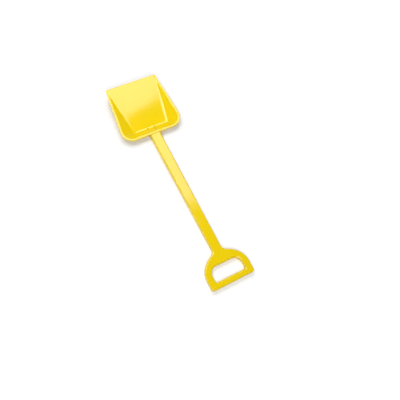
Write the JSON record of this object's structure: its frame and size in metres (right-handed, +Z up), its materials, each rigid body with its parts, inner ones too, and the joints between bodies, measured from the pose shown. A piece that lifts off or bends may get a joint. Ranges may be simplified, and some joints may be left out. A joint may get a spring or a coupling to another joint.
{
  "type": "sand shovel",
  "caption": "Long-handled plastic sand shovel for children, with a wide tilted pan blade, a straight channel shaft and a D-shaped grip with a hand hole",
  "frame": {"origin": "on the ground under the shovel as it lies on its back, halfway along its length and in its plane of symmetry", "axes": "+Z up out of the pan, +Y along the shaft towards the front edge of the blade, +X across the blade"},
  "size_m": [0.154, 0.54, 0.033],
  "materials": {
    "yellow_plastic": "smooth moulded polypropylene, satin to glossy"
  },
  "bodies": {
    "root": {"blade": "yellow_plastic", "shaft": "yellow_plastic", "grip": "yellow_plastic"}
  },
  "joints": []
}
